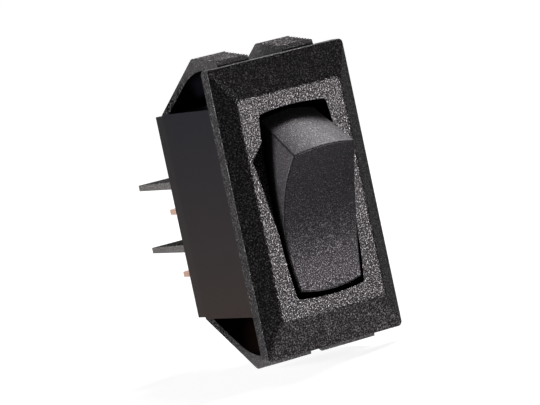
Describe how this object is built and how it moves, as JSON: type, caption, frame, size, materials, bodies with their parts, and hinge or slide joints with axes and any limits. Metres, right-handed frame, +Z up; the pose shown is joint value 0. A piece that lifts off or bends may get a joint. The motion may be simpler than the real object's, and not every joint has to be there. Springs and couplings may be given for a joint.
{
  "type": "rocker switch",
  "caption": "Snap-in panel rocker switch: black oblong bezel with sloped rim, dished rocker, box body with snap wings, finned terminal base and copper tab terminals",
  "frame": {"origin": "Middle of the plane behind the bezel's rim, where the switch seats on its panel, on the centre of the panel cut-out.", "axes": "+X is to the right as seen from the front, -Y points out of the panel towards the user, so +Y runs into the panel, and +Z is up, along the bezel's long side."},
  "size_m": [0.0244, 0.0458, 0.0482],
  "materials": {
    "housing_plastic": "black, coarse textured front, smooth body",
    "rocker_plastic": "black, fine matte grain",
    "base_plastic": "black, smooth",
    "copper_strip": "plain rolled copper alloy",
    "contact_metal": "silver alloy contact faces",
    "plunger_plastic": "natural nylon",
    "spring_steel": "bright spring wire"
  },
  "bodies": {
    "housing": {"housing": "housing_plastic", "terminal_base": "base_plastic", "common_terminal": "copper_strip", "load_terminal": "copper_strip", "fixed_contact": "contact_metal"},
    "rocker": {"rocker": "rocker_plastic", "plunger_spring": "spring_steel"},
    "plunger": {"plunger": "plunger_plastic"},
    "contact_arm": {"contact_arm": "copper_strip", "moving_contact": "contact_metal"}
  },
  "joints": [
    {"name": "rocker_hinge", "type": "hinge", "parent": "housing", "child": "rocker", "pos_m": [0, 0.00208, 0], "axis": [-1, 0, 0], "range_deg": [0, 33.6]},
    {"name": "arm_hinge", "type": "hinge", "parent": "housing", "child": "contact_arm", "pos_m": [0, 0.01305, 0], "axis": [1, 0, 0], "range_deg": [0, 17]},
    {"name": "plunger_slide", "type": "slide", "parent": "rocker", "child": "plunger", "axis": [0, -0.9573, -0.289], "range_m": [0, 0.0006], "stiffness_N_per_m": 400, "springref_m": -0.002, "deforming": ["plunger_spring"]}
  ],
  "couplings": [
    {"joint": "arm_hinge", "follows": "rocker_hinge", "ratio": 0.50595}
  ]
}
